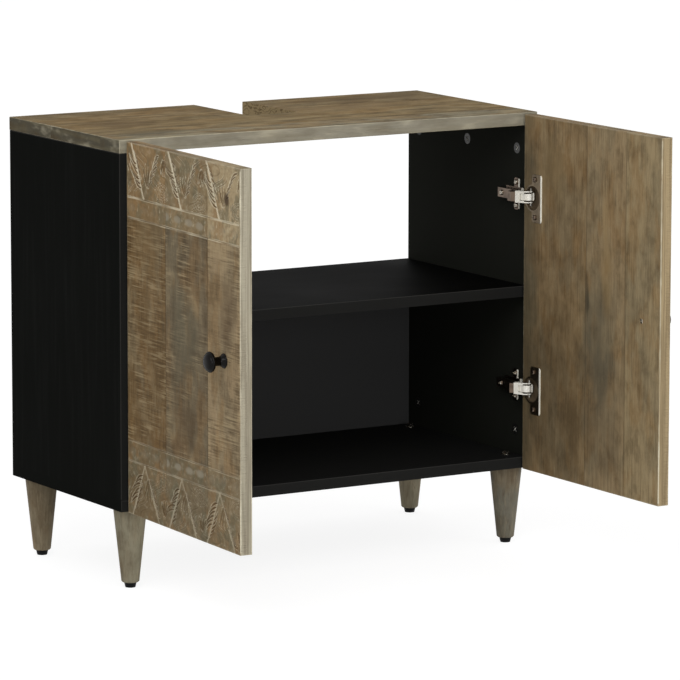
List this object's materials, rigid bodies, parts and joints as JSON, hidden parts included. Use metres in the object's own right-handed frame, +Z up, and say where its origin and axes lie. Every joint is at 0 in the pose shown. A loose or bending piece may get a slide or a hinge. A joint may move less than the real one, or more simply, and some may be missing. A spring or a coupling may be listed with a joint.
{
  "type": "sink base cabinet",
  "caption": "Sink base cabinet on tapered legs, with a top notched for the drain, a shelf, an open upper back and hinged doors.",
  "frame": {"origin": "on the floor, in the cabinet's middle plane, halfway between the back edge and the free edges of the open doors", "axes": "+X to the right seen from the front, +Y from the front to the back, +Z up"},
  "size_m": [0.7055, 0.6368, 0.6],
  "materials": {
    "top_wood": "worn, lightly waxed glued planks",
    "door_wood": "rough-sawn planks with carved bands, washed brown",
    "leg_wood": "turned wood, dull brown",
    "dowel_wood": "bare beech",
    "black_board": "black laminated board, satin",
    "back_board": "thin black board, matt",
    "glide_plastic": "black plastic",
    "knob_gloss": "black lacquer, glossy",
    "hinge_nickel": "nickel-plated pressed steel",
    "pin_steel": "plain steel",
    "screw_steel": "zinc-plated steel",
    "cam_metal": "die-cast zinc, dull"
  },
  "bodies": {
    "cabinet": {"top_panel": "top_wood", "left_side_panel": "black_board", "right_side_panel": "black_board", "bottom_panel": "black_board", "shelf": "black_board", "back_panel": "back_board", "front_left_leg": "leg_wood", "front_right_leg": "leg_wood", "rear_left_leg": "leg_wood", "rear_right_leg": "leg_wood", "foot_glides": "glide_plastic", "leg_bolts": "screw_steel", "cam_locks": "cam_metal", "cam_bolts": "screw_steel", "carcass_dowels": "dowel_wood", "shelf_dowels": "dowel_wood", "back_panel_screws": "screw_steel", "left_lower_mounting_plate": "hinge_nickel", "left_upper_mounting_plate": "hinge_nickel", "right_lower_mounting_plate": "hinge_nickel", "right_upper_mounting_plate": "hinge_nickel", "left_lower_hinge_arm": "hinge_nickel", "left_upper_hinge_arm": "hinge_nickel", "right_lower_hinge_arm": "hinge_nickel", "right_upper_hinge_arm": "hinge_nickel", "left_plate_screws": "screw_steel", "right_plate_screws": "screw_steel", "left_arm_screws": "screw_steel", "right_arm_screws": "screw_steel", "left_arm_pins": "pin_steel", "right_arm_pins": "pin_steel"},
    "left_outer_links": {"left_lower_outer_link": "hinge_nickel", "left_upper_outer_link": "hinge_nickel"},
    "left_inner_links": {"left_lower_inner_link": "pin_steel", "left_upper_inner_link": "pin_steel"},
    "left_door": {"left_door": "door_wood", "left_lower_hinge_cup": "hinge_nickel", "left_upper_hinge_cup": "hinge_nickel", "left_cup_pins": "pin_steel", "left_cup_screws": "screw_steel", "left_knob": "knob_gloss", "left_knob_screw": "screw_steel"},
    "right_outer_links": {"right_lower_outer_link": "hinge_nickel", "right_upper_outer_link": "hinge_nickel"},
    "right_inner_links": {"right_lower_inner_link": "pin_steel", "right_upper_inner_link": "pin_steel"},
    "right_door": {"right_door": "door_wood", "right_lower_hinge_cup": "hinge_nickel", "right_upper_hinge_cup": "hinge_nickel", "right_cup_pins": "pin_steel", "right_cup_screws": "screw_steel", "right_knob": "knob_gloss", "right_knob_screw": "screw_steel"}
  },
  "joints": [
    {"name": "left_outer_link_pivot", "type": "hinge", "parent": "cabinet", "child": "left_outer_links", "pos_m": [-0.295, 0.00837, 0.352], "axis": [0, 0, -1], "range_deg": [-2.61, 43.26]},
    {"name": "left_door_swing", "type": "hinge", "parent": "left_outer_links", "child": "left_door", "pos_m": [-0.30411, -0.00781, 0.352], "axis": [0, 0, -1], "range_deg": [-135.86, 7.61]},
    {"name": "left_inner_link_pivot", "type": "hinge", "parent": "cabinet", "child": "left_inner_links", "pos_m": [-0.289, 0.01337, 0.352], "axis": [0, 0, -1], "range_deg": [-1.01, 14.75]},
    {"name": "right_outer_link_pivot", "type": "hinge", "parent": "cabinet", "child": "right_outer_links", "pos_m": [0.295, 0.00837, 0.352], "axis": [0, 0, 1], "range_deg": [-3.59, 42.28]},
    {"name": "right_door_swing", "type": "hinge", "parent": "right_outer_links", "child": "right_door", "pos_m": [0.30438, -0.00765, 0.352], "axis": [0, 0, 1], "range_deg": [-132.78, 10.69]},
    {"name": "right_inner_link_pivot", "type": "hinge", "parent": "cabinet", "child": "right_inner_links", "pos_m": [0.289, 0.01337, 0.352], "axis": [0, 0, 1], "range_deg": [-1.34, 14.42]}
  ],
  "couplings": [
    {"joint": "left_outer_link_pivot", "follows": "left_door_swing", "ratio": -0.31694},
    {"joint": "left_inner_link_pivot", "follows": "left_door_swing", "ratio": -0.10708},
    {"joint": "right_outer_link_pivot", "follows": "right_door_swing", "ratio": -0.31694},
    {"joint": "right_inner_link_pivot", "follows": "right_door_swing", "ratio": -0.10708}
  ]
}
